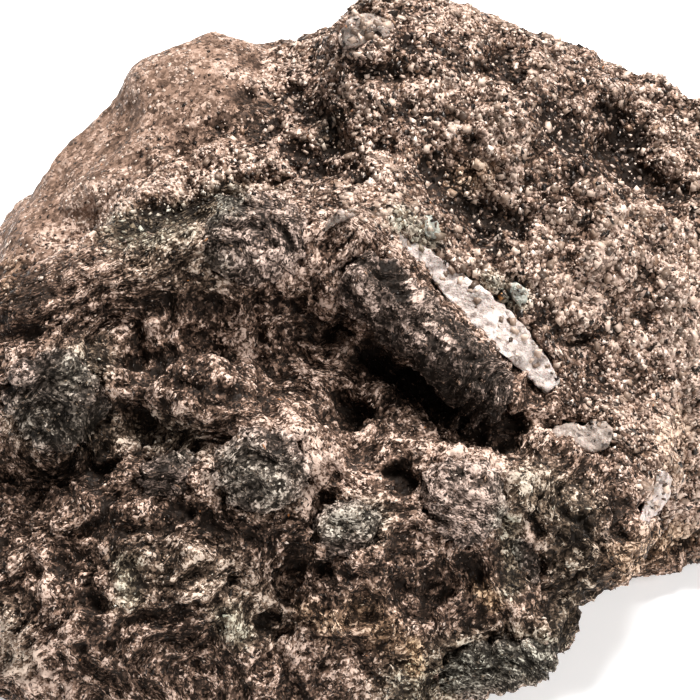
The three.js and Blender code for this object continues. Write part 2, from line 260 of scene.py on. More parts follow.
def sheet_depth(face):
    """How deep in the pile of mica sheets a place lies, in mm. The sheets wrap round the knobs."""
    apart = (face[:, None, :] - KNOBS[None, :, :]) * KNOB_STRETCH
    away = np.linalg.norm(apart, axis=2)
    round_knobs = -WRAP * np.log(np.exp(-away / WRAP).sum(axis=1))
    flat_pile = PILE_RISES_UP * face[:, 1] + PILE_RISES_OUT * face[:, 2]
    wavy = round_knobs + flat_pile + waves(face, height=2.0, pitch=5, seed=3)
    return wavy + waves(face, height=0.8, pitch=2.2, seed=4)


CLIMB = 0.22
LEDGE_MIDDLE = 0.4


def ledges(depth, height, pitch):
    """A split edge climbs fast and falls slowly across each pitch."""
    phase = np.mod(depth / pitch, 1)
    return height * (np.clip(phase / CLIMB, 0, 1) * (1 - phase) - LEDGE_MIDDLE)


def soften(mesh, values, rounds):
    """Averages a value over a point's neighbours, again and again."""
    ends = np.empty(len(mesh.edges) * 2, dtype=np.int32)
    mesh.edges.foreach_get("vertices", ends)
    a, b = ends.reshape(-1, 2).T
    count = len(mesh.vertices)
    share = np.bincount(a, minlength=count) + np.bincount(b, minlength=count)
    for _ in range(rounds):
        values = np.stack([
            (np.bincount(a, column[b], count) + np.bincount(b, column[a], count)) / share
            for column in values.T
        ], axis=1)
    return values


def note(mesh, name, values):
    """Writes a number for each point, which materials read by name."""
    attribute = mesh.attributes.new(name, "FLOAT", "POINT")
    attribute.data.foreach_set("value", values.astype(np.float32))


STROKE_CRISPNESS = 1.5


def stroke(face, line, half):
    """1 along a line of (across, up) points on the show face, falling to 0 at a half width from it."""
    nearest = np.full(len(face), np.inf)
    for start, end in zip(line[:-1], line[1:]):
        step = np.subtract(end, start)
        from_start = face[:, :2] - start
        share = np.clip(from_start @ step / (step @ step), 0, 1)
        nearest = np.minimum(nearest, ((from_start - share[:, None] * step) ** 2).sum(axis=1))
    return np.exp(-(nearest / half ** 2) ** STROKE_CRISPNESS)


# Lines along which the stone is pale and stands up a little, with a half width in mm and a strength.
PALE = (
    (((-32, 13), (-24, 20), (-16, 27)), 6.5, 0.3),
    (((-9, 28), (-8, 28.4)), 1.8, 0.5),
    (((-7.6, 21.4), (-5.8, 23.2)), 0.9, 0.5),
    (((-11.5, 16.4), (-8.5, 16.3), (-6, 15.2)), 0.4, 0.8),
    (((-11, 18.6), (-8, 19), (-5, 17.6)), 0.45, 0.45),
    (((-11, 8.6), (-8.6, 9.2), (-6.4, 8.6)), 1.2, 0.5),
    (((-24, 8.5), (-23, 7.5)), 1.3, 0.3),
    (((-29, 7.5), (-27, 7.5)), 1.1, 0.25),
    (((-23.4, 2.2), (-22.6, 1.8)), 0.9, 0.6),
    (((-19.4, 1.6), (-17.4, 1.1)), 0.8, 0.7),
    (((-12, 1), (-10, 0.2)), 1.1, 0.8),
    (((-13.4, -2.2), (-12.4, -3)), 1.0, 0.65),
    (((-10.4, -0.6), (-9.6, -3)), 0.7, 0.45),
    (((-4.6, -2), (-3.4, -2.6)), 1.0, 0.35),
    (((-23, -4.3), (-21.5, -4.6)), 0.8, 0.6),
    (((-22.6, -9.4), (-21.2, -9.6)), 0.8, 0.85),
    (((-16.6, -6), (-16.2, -6.2)), 0.8, 0.6),
    (((-16.6, -13), (-14.4, -11.6), (-13.4, -12.5), (-13.7, -14.6)), 0.7, 0.65),
    (((-13, -11), (-11.4, -9.6)), 0.6, 0.45),
    (((-9.8, -11.8), (-8, -12.4)), 0.5, 0.5),
    (((-7.2, -11.6), (-6.4, -12.6)), 0.5, 0.5),
    (((-5.2, -12.6), (-4.8, -13.6)), 0.5, 0.4),
    (((-6.6, -6.6), (-4.4, -8.6), (-3, -10.4)), 1.4, 0.7),
    (((-2.6, -11), (-0.5, -12.5)), 1.5, 0.5),
    (((-3.6, -10.5), (-3, -13.6), (-4.4, -15.6)), 0.9, 0.9),
    (((-2.4, -16.6), (1, -17)), 1.2, 0.55),
    (((-18, -18.4), (-15, -19.5), (-11, -20.4)), 1.0, 0.45),
    (((31, 12), (32, -6)), 4.0, 0.25),
    (((-29.4, -15.8), (-28, -16)), 0.9, 0.5),
    (((-23.2, -12.8), (-22.6, -13.2)), 0.9, 0.4),
    (((-33, -17), (-31, -20), (-30, -23)), 1.8, 0.3),
    (((-29.6, -28.4), (-28.2, -27)), 1.5, 0.5),
    (((-35, -30.4), (-32, -31.4), (-28.5, -33.6)), 1.0, 0.7),
    (((-34.5, -28), (-33, -27)), 1.1, 0.3),
    (((-22.3, -22.5), (-21.3, -24.5)), 1.2, 0.25),
    (((-11.6, -27.6), (-10.6, -26.6)), 1.0, 0.4),
    (((-6.8, -28.8), (-5.6, -29.4)), 0.9, 0.4),
    (((2, -8), (6, -8.6), (10, -10), (14, -11.4), (18, -12.6)), 1.2, 0.6),
    (((18.6, -5.2), (19, -8)), 0.9, 0.5),
    (((8, -12.6), (9, -13.4)), 1.1, 0.4),
    (((11.4, -13.6), (13, -14.4)), 1.1, 0.6),
    (((9.8, -17.4), (10.6, -18)), 0.9, 0.4),
    (((6, -18.4), (6.4, -19)), 0.8, 0.3),
    (((15.6, -16), (19, -19.4)), 0.4, 0.7),
    (((21.6, -13.4), (22, -14.4)), 0.9, 0.4),
    (((13, -23.4), (14, -24.6)), 0.9, 0.5),
    (((15.6, -26), (16.6, -26.2)), 1.0, 0.4),
    (((6, -28.6), (6.6, -30.6), (5, -31.8)), 0.7, 0.5),
    (((28, -20), (33, -16), (34, -8)), 3.2, 0.35),
    (((30.5, -13.6), (31.5, -10), (32.5, -6)), 1.1, 0.4),
    (((13.6, 20.6), (15.4, 23.8), (17.4, 21.8), (16, 25)), 1.2, 0.7),
    (((1, 15.6), (4.2, 17), (3.8, 19.4), (1.4, 20)), 0.9, 0.5),
    (((5.2, 18.2), (5.7, 18.5)), 0.7, 0.7),
    (((5, 26.6), (7.5, 26), (10, 26.5), (12.5, 27.4)), 1.1, 0.4),
    (((0.6, 33), (3, 31)), 1.8, 0.5),
    (((25, 8), (26.5, 13), (25.4, 17)), 1.6, 0.5),
    (((29.2, 9.4), (29.8, 9)), 0.8, 0.6),
    (((32.4, 10.4), (32.8, 11.4)), 0.8, 0.7),
    (((27.4, 8.2), (28.2, 7.8)), 0.7, 0.7),
    (((31.5, 22), (34, 17)), 1.5, 0.4),
    (((20, 9), (24, 6)), 2.6, 0.3),
    (((22.4, 2), (24.6, 4)), 0.8, 0.5),
    (((26, -1), (26.6, 0.6)), 0.7, 0.4),
    (((20, 29.5), (21, 26.5)), 0.9, 0.5),
    (((33.4, -4), (33.6, 3), (33.4, 11)), 2.0, 0.55),
    (((6, 6.4), (6.5, 4.8), (8.2, 4.4)), 0.55, 1.2),
    (((8, 2.2), (9.6, 0.8)), 0.55, 1.2),
    (((-33, 0), (-32, -3)), 1.3, 0.3),
    (((-35, -6), (-35, -9)), 0.9, 0.5),
    (((0.4, 6.2), (2.8, 3.8)), 0.5, 0.9),
    (((-31, 10), (-24, 14.6)), 2.0, 0.55),
    (((-3.6, 10.6), (-2.6, 7.6)), 1.0, 0.5),
    (((3.4, 14.4), (4.6, 13), (6.4, 10.6)), 0.8, 0.8),
    (((10, 9.6), (13, 8), (14.4, 6.6)), 1.3, 0.55),
    (((-2, -9.4), (-1, -10.4)), 1.2, 0.5),
    (((-2.5, 26), (2, 25.5)), 1.5, 0.35),
    (((8, 24.5), (16, 20.5)), 1.7, 0.3),
    (((-13, 2.6), (-7.6, 2.6)), 1.0, 0.3),
    (((-23, -8), (-18, -8.2)), 0.9, 0.35),
    (((-1.5, -12), (3, -13.5)), 1.4, 0.35),
    (((8, -15), (19, -18.5)), 1.7, 0.3),
    (((-9, -22.4), (-5.6, -29)), 1.8, 0.6),
    (((-0.5, -31), (3, -34)), 1.4, 0.6),
    (((-35, -28.8), (-31, -31.6), (-28, -34)), 2.1, 0.8),
    (((-2.4, 13), (-1.4, 10.6)), 1.2, 0.5),
    (((-28, 15.4), (-21, 16.6), (-14, 17)), 1.6, 0.45),
    (((-5, 6.6), (-3.4, 4)), 1.2, 0.4),
    (((22.6, 14), (24.6, 9.4)), 1.3, 0.45),
    (((14.4, 23.4), (16.6, 20.6)), 1.2, 0.4),
    (((24, 25), (25.6, 22.6)), 1.0, 0.4),
    (((12, -13.4), (19, -16.2)), 1.1, 0.35),
    (((33, 1), (34.6, -3.6)), 1.6, 0.45),
    (((17, 0.6), (20, -3)), 0.7, 0.4),
)
# Lines along which the stone is dark and sunk: grooves, pits, cracks and masses of black mica. In the
# grooves and pits the dark tone is partly painted shade, as in the band under the shoulder and the
# hollow under the long crystal.
DARK = (
    (((-13.5, 22.6), (-17.5, 21.2)), 1.3, 0.5),
    (((-13, 23.2), (-8, 22)), 1.4, 0.5),
    (((-10.8, 25.8), (-10.2, 26)), 1.0, 0.8),
    (((-6, 26.6), (-5.4, 25.4)), 1.0, 0.6),
    (((-6.8, 20.4), (-5, 20.6)), 1.0, 0.6),
    (((-2.4, 21), (-1.6, 23)), 1.3, 0.7),
    (((-4, 24), (-2, 26)), 1.3, 0.4),
    (((-4, 19), (-1, 18)), 1.3, 0.3),
    (((-23, 12.4), (-18, 13.6), (-12.5, 15.4)), 1.2, 0.35),
    # This and the next: painted shade along the groove under the shoulder.
    (((-21, 5.2), (-16, 4.4), (-10, 4.6), (-5.5, 4.4)), 1.2, 0.25),
    (((-34, 4), (-27, 4.6), (-21, 5.4)), 1.0, 0.1),
    (((-2.6, 7.2), (-2.2, 7.4)), 0.9, 0.6),
    (((-3, 3.2), (0, 2)), 1.3, 0.35),
    # Painted shade in the hollow under the long crystal.
    (((1.4, -1.6), (6, -4), (10.5, -6.6), (15.6, -8.6)), 1.7, 0.45),
    (((0.4, -6.6), (1.4, -6.2)), 1.0, 1.0),
    (((3.2, 7.8), (4.8, 6.3)), 1.0, 1.1),
    (((0, 6), (1, 5)), 0.8, 0.5),
    (((-19, -2.2), (-15, -3.6)), 0.9, 0.6),
    (((-12.4, -4), (-11.6, -4.2)), 0.8, 0.7),
    (((-33.5, -14.2), (-29, -13.6), (-25, -12.6)), 1.3, 0.3),
    (((-18, -15.4), (-15, -16.4), (-12, -18), (-8, -18.6), (-4, -18.6)), 1.3, 0.5),
    (((-24.6, -7), (-24, -9)), 1.1, 0.4),
    (((-30, -6), (-28, -10)), 2.2, 0.25),
    (((-25.4, -23), (-24.6, -28)), 1.0, 0.6),
    (((-28.4, -20.6), (-28, -22)), 0.8, 0.4),
    (((-8.2, -26.8), (-7.4, -26)), 1.0, 1.0),
    (((-17.6, -26), (-16.6, -27.4)), 1.5, 0.45),
    (((-5, -20.5), (-1, -21.5)), 1.5, 0.5),
    (((4.8, -11.6), (5.4, -13)), 1.2, 0.9),
    (((5, -22.8), (5.4, -23.4)), 0.8, 0.6),
    (((11, -20.6), (13, -22)), 1.1, 0.4),
    (((16.4, -15.2), (19.2, -18.2)), 0.45, 0.9),
    (((-3, -15), (-3.4, -17.6)), 0.6, 0.4),
    (((20.6, 24.4), (22.6, 21.6)), 1.6, 0.8),
    (((26.4, 24), (28.4, 21.8)), 2.0, 0.7),
    (((23.6, 20.6), (25.6, 20.2)), 0.9, 0.8),
    (((27, 19.4), (30, 18), (33.4, 15.2)), 1.4, 0.8),
    (((3, 20.8), (7.6, 20.8)), 0.9, 0.5),
    (((12, 21.2), (12.6, 20.8)), 0.9, 0.6),
    (((8, 19), (9.2, 17), (11.4, 15.2)), 1.2, 0.75),
    (((12.4, 14), (13.6, 12), (15, 10)), 1.1, 0.65),
    (((14.6, 14), (17.6, 12.4)), 1.2, 0.65),
    (((22.8, 17.6), (24, 17.4)), 1.0, 0.5),
    (((1, 17.2), (1.5, 17.6)), 0.8, 0.8),
    (((12, 18), (12.3, 18.3)), 0.8, 0.6),
    (((17, 28), (17.4, 26)), 1.1, 0.5),
    (((22, 27), (24, 26.5)), 1.1, 0.4),
    (((10.6, 30), (12, 28)), 1.1, 0.35),
    (((1, 27.4), (2.6, 27.4)), 1.1, 0.45),
    (((5, 33), (6, 31)), 1.1, 0.5),
    (((14, 29), (17, 31.4)), 1.1, 0.4),
    (((30, 3), (29.5, 9), (29.6, 10.6)), 1.1, 0.4),
    (((28.6, -2.4), (29.2, -4)), 1.1, 0.5),
    (((18.6, 4.6), (19.4, 3)), 1.4, 0.5),
    (((20.4, 1.6), (23, 1.4)), 1.1, 0.4),
    (((30.8, -17.8), (31.4, -17.2)), 1.0, 0.8),
    (((26.6, -16), (27, -18)), 1.3, 0.6),
    (((29, -21), (34, -20)), 0.9, 0.3),
    (((22, -16.5), (23, -19)), 1.0, 0.4),
    (((20, -32), (23.5, -27), (25, -22)), 1.6, 0.3),
)
# Lines along which the stone is dark but not sunk: masses of black mica, and painted shade on flanks
# turned away from the light.
BLACK_AND_SHADE = (
    # Painted shade on the long crystal's lower flank.
    (((3, 0.4), (6, -2), (13, -7.4)), 1.8, 0.8),
    (((10.6, -1), (13.4, -3.4), (16, -5.6)), 2.2, 0.5),
    (((2.6, 8), (5, 6)), 1.4, 0.45),
    (((5, 9), (10, 3.6), (15, -1.4)), 1.0, 0.3),
    (((-33.5, 5), (-29, 8.4), (-24, 11), (-19, 13.6)), 1.7, 0.45),
    (((-22.4, -11.2), (-19, -13.8)), 2.2, 0.4),
    (((-26, -8), (-24, -12)), 2.4, 0.25),
    (((-16, -16), (-10, -17)), 1.4, 0.3),
    (((-33.6, 13), (-32, 4)), 2.0, 0.3),
    (((-18, -0.6), (-12.4, -4.4)), 1.7, 0.5),
    (((-28, -12.6), (-21, -18.6)), 2.0, 0.35),
    (((-35, 4), (-31, 6.6)), 1.8, 0.35),
    (((10, -25), (13.6, -27.6)), 1.4, 0.35),
    (((17.4, -23), (21, -27.6)), 1.4, 0.35),
    (((-13, 26), (-8.4, 24)), 1.6, 0.35),
    (((-31, 0), (-24, -5.6)), 2.2, 0.35),
    (((-9, -4), (-3.6, -10)), 1.4, 0.3),
    (((2.4, -7.6), (9.4, -9.6)), 1.1, 0.35),
    (((-18.6, -10.6), (-14.6, -14)), 1.3, 0.35),
    (((-29, -16), (-24, -17)), 1.4, 0.25),
    (((24.6, -8.6), (26, -7.6)), 1.2, 0.5),
    (((20.6, -16), (23, -18), (23, -21.4)), 2.2, 0.35),
    (((17.6, 23), (22, 19.4), (27, 17)), 1.7, 0.35),
    (((9, 17.6), (13, 12), (15.4, 9)), 1.5, 0.35),
    (((3, 24.6), (8, 22.4)), 1.2, 0.3),
    (((-1, 29), (4, 29)), 1.4, 0.3),
    (((8, -24), (14, -22)), 2.2, 0.25),
    (((17, -19), (22, -24), (22, -28)), 2.0, 0.25),
)
# Lines along which the stone stands up, in mm, with no change of tone.
RAISED = (
    (((-3.6, 10), (-3, 5.4)), 1.6, 1.5),
    (((-36, -15), (-32, -14.6), (-27, -13.6)), 2.6, 2.2),
    (((-33, 3.4), (-29, 3.6), (-26, 4.4)), 1.5, 0.9),
    (((-1.6, 3.6), (0.6, 2.2)), 1.2, 1.0),
    (((-19, 3), (-15, 3.2)), 1.3, 0.8),
    (((-10, 4), (-7, 3.4)), 1.2, 0.7),
    (((2, -3), (5, -5), (8, -6.6)), 1.5, 0.8),
    (((12, -6.4), (14, -7.4)), 1.2, 0.8),
    (((-25, -18.6), (-20, -19.4)), 1.4, 0.7),
    (((-33, -27), (-30, -25)), 2.4, 0.6),
    (((-15, -24), (-9, -24.4)), 1.4, 0.5),
    (((13, -11.6), (18, -13)), 1.0, 0.5),
)
# Lines along which the mica is grey-green, and lines along which it is stained yellow or rusty.
GREEN = (
    (((-23, 12), (-17, 13), (-12, 15)), 2.2, 0.8),
    (((-20, 9.4), (-14, 8)), 3.0, 0.4),
    (((-27.4, -2), (-25.6, -1)), 2.6, 0.7),
    (((-31, -7), (-25, -8)), 3.2, 0.6),
    (((-20, -8), (-16, -9)), 2.2, 0.6),
    (((-10, -12), (-8, -13)), 3.4, 0.6),
    (((-1, -17), (2, -16.6)), 2.2, 0.7),
    (((15.4, -17), (16, -23)), 1.4, 0.9),
    (((18, -13.6), (22, -15.6), (22.6, -25)), 3.2, 0.65),
    (((6, -33), (12, -31), (20, -30)), 3.4, 0.9),
    (((-22, -21), (-21.6, -24.5)), 1.5, 0.7),
    (((-20, -21), (-13, -22), (-9, -26)), 3.6, 0.4),
    (((-34, -26), (-33, -30)), 2.4, 0.4),
    (((-12, -26.6), (-10.6, -28)), 1.6, 0.7),
    (((5.2, 13), (7.8, 10.8)), 1.4, 0.8),
    (((14.4, 6.8), (16.8, 5)), 1.4, 0.8),
    (((-2, 22), (-2, 23)), 1.6, 0.4),
)
RUST = (
    (((1.4, -25.4), (3.4, -28)), 2.0, 0.7),
    (((12.6, -23), (14, -24.6)), 1.1, 0.9),
    (((6, -29), (6.4, -31)), 1.0, 0.9),
    (((-4, -25.6), (-1.4, -27)), 1.5, 0.6),
    (((33, -8), (32.6, -12)), 2.0, 0.3),
    (((27, -21), (33, -19)), 2.2, 0.6),
    (((-34.4, 8.6), (-34, 6)), 1.2, 0.35),
    (((11, 17), (13, 18)), 1.6, 0.5),
)

RAGGED_BY = 0.5
RAGGED_PITCH = 1.6
TURNED_AWAY_FADE = 4


def zone(face, facing, strokes):
    """The strength of strokes on the show face, with ragged edges, and none on what faces away."""
    ragged = face.copy()
    ragged[:, 0] += waves(face, RAGGED_BY, RAGGED_PITCH, seed=41)
    ragged[:, 1] += waves(face, RAGGED_BY, RAGGED_PITCH, seed=42)
    total = sum(strength * stroke(ragged, line, half) for line, half, strength in strokes)
    return total * np.clip(facing * TURNED_AWAY_FADE, 0, 1)


def zone_share(face, facing, strokes):
    return np.minimum(zone(face, facing, strokes), 1)


# Above this line of (across, up) points the stone is grainy. Below it the mica wraps round crystals.
CREST = ((-38, 4), (-25, 8.5), (-12, 15.5), (0, 13.5), (5, 10.5), (21, -4), (26, -11), (36, -24))
CREST_BLUR = 3
# How many mm behind the show face the stone turns grainy again, over how many, and how deep the back's
# own tint is full.
GRAINY_DEPTH = 14
GRAINY_BLUR = 8
BACK_DEPTH = 20

# The back of the left side is worn nearly smooth. Behind the crest it swells along these lines, by so
# many mm.
SMOOTH = (((-34, 14), (-26, 22), (-16, 29)), 8.5)
SWELLS = (
    (((-37, 9), (-33.8, 13.4)), 3.5, 1.6),
    (((-29.6, 19), (-25, 24)), 3.2, -1.3),
    (((-20.4, 28.6), (-15, 30.4)), 3.6, 1.4),
)
SWELL_DEPTH = 6
SWELL_BLUR = 5


def graininess(face):
    """0 where the mica lies in fine wrapping sheets, 1 where it is a mass of coarse grains."""
    above = face[:, 1] - np.interp(face[:, 0], *np.array(CREST).T)
    front = np.clip(0.5 + above / CREST_BLUR, 0, 1)
    behind = np.clip((-face[:, 2] - GRAINY_DEPTH) / GRAINY_BLUR, 0, 1)
    return np.maximum(front, behind)


# How strongly the strokes tint the stone, how much more they do where it is grainy, and how much darker
# the sheets are than the grains.
TINT_GAIN = 1.05
PALE_GAIN_IN_GRAINS = 0.4
DARK_GAIN_IN_GRAINS = 0.45
SHEETS_DARKER = 0.2
BACK_TINT = 0.3
SHEETS_LOST_IN_GRAINS = 0.85
HOLLOW_ROUNDS = 14
HOLLOW_DEPTH = 0.5


def note_zones(mesh):
    """Notes what the materials need at each point of a finished stone mesh."""
    points, normals = points_of(mesh), normals_of(mesh)
    face = on_face(points)
    facing = normals @ np.array(OUT)
    behind = np.clip(-face[:, 2] / BACK_DEPTH, 0, 1)
    drift = 0.5 + waves(face, height=0.5, pitch=9, seed=21)
    grainy = graininess(face)
    uneven = waves(face, height=0.2 + 0.3 * grainy, pitch=2.6, seed=22)
    uneven += waves(face, height=0.32 * grainy, pitch=1.3, seed=24)
    uneven -= SHEETS_DARKER * (1 - grainy)
    pale = (TINT_GAIN + PALE_GAIN_IN_GRAINS * grainy) * zone_share(face, facing, PALE)
    pale = pale + BACK_TINT * behind * drift + uneven
    dark = (TINT_GAIN + DARK_GAIN_IN_GRAINS * grainy) * zone_share(face, facing, DARK + BLACK_AND_SHADE)
    dark += BACK_TINT * np.clip(bumps(face, pitch=5, seed=23), 0, 1) * behind
    # How far each point lies below its smoothed neighbours. The finishes paint shade by it: darker in the
    # hollows, lighter on the ridges.
    level = soften(mesh, points, HOLLOW_ROUNDS)
    sunk = ((level - points) * normals).sum(axis=1) * MM_PER_METRE
    note(mesh, "sheet", sheet_depth(face) * (1 - SHEETS_LOST_IN_GRAINS * grainy))
    note(mesh, "grainy", grainy)
    note(mesh, "smooth", stroke(face, *SMOOTH))
    note(mesh, "pale", np.clip(pale - dark, -1, 1))
    note(mesh, "green", zone_share(face, facing, GREEN))
    note(mesh, "rust", zone_share(face, facing, RUST))
    note(mesh, "sunk", np.clip(sunk / HOLLOW_DEPTH, -1, 1))


def lap(points, others, reach):
    """1 where a point touches the other pieces, falling to 0 at a reach from them."""
    form = bmesh.new()
    for other in others:
        form.from_mesh(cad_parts[other].data)
    tree = BVHTree.FromBMesh(form)
    form.free()
    away = [tree.find_nearest(point, reach)[3] for point in points.tolist()]
    return np.array([0 if gap is None else 1 - gap / reach for gap in away])


# The skin's relief. Lengths are in mm but for the reaches, which are in metres. Wear, the vein and the
# outline each take away a share of it.
BEDDED = [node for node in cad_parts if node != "schist_matrix"]
BEDDED_REACH = 0.0022
VEIN_REACH = 0.005
VEIN_LIFT = 0.35
VEIN_CALMS = 0.8
WEAR_CALMS = 0.8
OUTLINE_EDGE = 2.5
LUMPS_SHARE = 0.9
PALE_LIFT = 0.6
DARK_DEPTH = 1.1
HUG = 0.8
HUG_UNEVEN = 0.9
HUG_LEAST = 0.45
HUG_MOST = 1.3
VEIN_EVENS = 0.7
FINE_LEDGES_START = 0.4
GRIT_HEIGHT = 0.35
GRIT_LOST_TO_WEAR = 0.6
GRIT_LOST_IN_GRAINS = 0.4

schist = solid_copy("schist_lump", "schist_matrix", SKIN_PITCH, SKIN_WEAR)
refine_show_face(schist)
skin = schist.data
points, normals = points_of(skin), normals_of(skin)
face = on_face(points)
facing = normals @ np.array(OUT)
grainy = graininess(face)
smooth = stroke(face, *SMOOTH)
beside_vein = lap(points, ["quartz_vein"], VEIN_REACH)
clumpy = (0.5 + 0.5 * grainy) * (1 - WEAR_CALMS * smooth) * (1 - VEIN_CALMS * beside_vein)
at_outline = 0.5 + 0.5 * np.clip(OUTLINE_EDGE * np.abs(facing), 0, 1)
swell = waves(face, height=0.5, pitch=6, seed=1) + waves(face, height=0.45, pitch=3, seed=2)
lump_height = lumps(face, height=1.2, pitch=4.1, seed=5)
lump_height += lumps(face, height=0.9 - 0.5 * grainy, pitch=1.9, seed=6)
lump_height *= LUMPS_SHARE * clumpy * at_outline
sheets = sheet_depth(face)
split = ledges(sheets, height=1.1, pitch=2.0) + ledges(sheets + FINE_LEDGES_START, height=0.5, pitch=0.9)
split *= at_outline * (1 - grainy)
shaped = PALE_LIFT * zone_share(face, facing, PALE) - DARK_DEPTH * zone_share(face, facing, DARK)
shaped += zone(face, facing, RAISED)
behind_crest = np.clip((-face[:, 2] - SWELL_DEPTH) / SWELL_BLUR, 0, 1)
shaped += behind_crest * sum(rise * stroke(face, line, half) for line, half, rise in SWELLS)
uneven_hug = waves(face, height=HUG_UNEVEN * (1 - VEIN_EVENS * beside_vein), pitch=2.4, seed=9)
hug = np.clip(HUG + uneven_hug, HUG_LEAST, HUG_MOST) - VEIN_LIFT * beside_vein
bedded = hug * lap(points, BEDDED, BEDDED_REACH) + VEIN_LIFT * beside_vein
points += normals * (swell + lump_height + split + shaped + bedded)[:, None] * MM
move_points(skin, points)
normals = normals_of(skin)
grit_height = GRIT_HEIGHT * (1 - GRIT_LOST_TO_WEAR * smooth) * (1 - GRIT_LOST_IN_GRAINS * grainy)
grit = lumps(face, grit_height, pitch=1.1, seed=7) + waves(face, height=0.12, pitch=0.7, seed=8)
points += normals * grit[:, None] * MM
points[:, 2] = np.maximum(points[:, 2], REST_LEVEL)
move_points(skin, points)


# The stone's finish. Each flake of mica is a cell of its own colour and tilt, thin across the sheets
# and long along them. Hollows are near black, partly black mica and partly painted shade, which also
# paints ridges such as split ledges pale and pinkish. Knobs are greener.
SHEET_PITCH = 0.16
TEAR = 0.6
TEARS_PER_METRE = 2400
GRAIN = 0.00024
PATCHES_PER_METRE = 750
# How much each adds to the shade, and how rough the flakes are.
PATCH_SHARE = 0.8
FLAKE_SHARE = 0.6
GRAIN_SHARE = 0.4
# Painted shade: the tone falls in the hollows and rises on the ridges.
HOLLOW_PAINTED_SHADE = -0.25
ROUGH_LEAST = 0.45
ROUGH_SPREAD = 0.35
WORN_SHADE = 0.655
WORN_SHARE = 0.7
RUSTY = (1.02, 0.97, 0.74)
SCHIST_GLOSS = 0.1
SCHIST_GLINT = (1, 0.86, 0.77, 1)


def add(material, kind, links=(), **settings):
    """Adds a node: links are (input, node's output or value), settings are its own properties."""
    node = material.node_tree.nodes.new("ShaderNode" + kind)
    for key, value in settings.items():
        setattr(node, key, value)
    for key, value in links:
        if isinstance(value, bpy.types.NodeSocket):
            material.node_tree.links.new(value, node.inputs[key])
        else:
            node.inputs[key].default_value = value
    return node


def reckon(material, operation, first, second, third=0.0):
    links = ((0, first), (1, second), (2, third))
    return add(material, "Math", links, operation=operation).outputs[0]


def reckon_vector(material, operation, *values):
    return add(material, "VectorMath", tuple(enumerate(values)), operation=operation).outputs[0]


# Inputs 2 and 3 of a Mix node are its numbers, and 6 and 7 its colours.
def tinted(material, colour, tint):
    """A colour multiplied by a tint."""
    return add(material, "Mix", ((0, 1.0), (6, colour), (7, (*tint, 1))), data_type="RGBA",
               blend_type="MULTIPLY").outputs[2]


def washed(material, note_name, colour, wash):
    """A colour that goes over to a wash where the mesh's note says so."""
    share = attribute(material, note_name)
    return add(material, "Mix", ((0, share), (6, colour), (7, wash)), data_type="RGBA").outputs[2]


def shade_ramp(material, value, stops):
    ramp = add(material, "ValToRGB", ((0, value),))
    marks = ramp.color_ramp.elements
    while len(marks) < len(stops):
        marks.new(0.5)
    for mark, (place, colour) in zip(marks, stops):
        mark.position = place
        mark.color = (*colour, 1)
    return ramp.outputs["Color"]


def attribute(material, name):
    return add(material, "Attribute", attribute_name=name).outputs["Fac"]


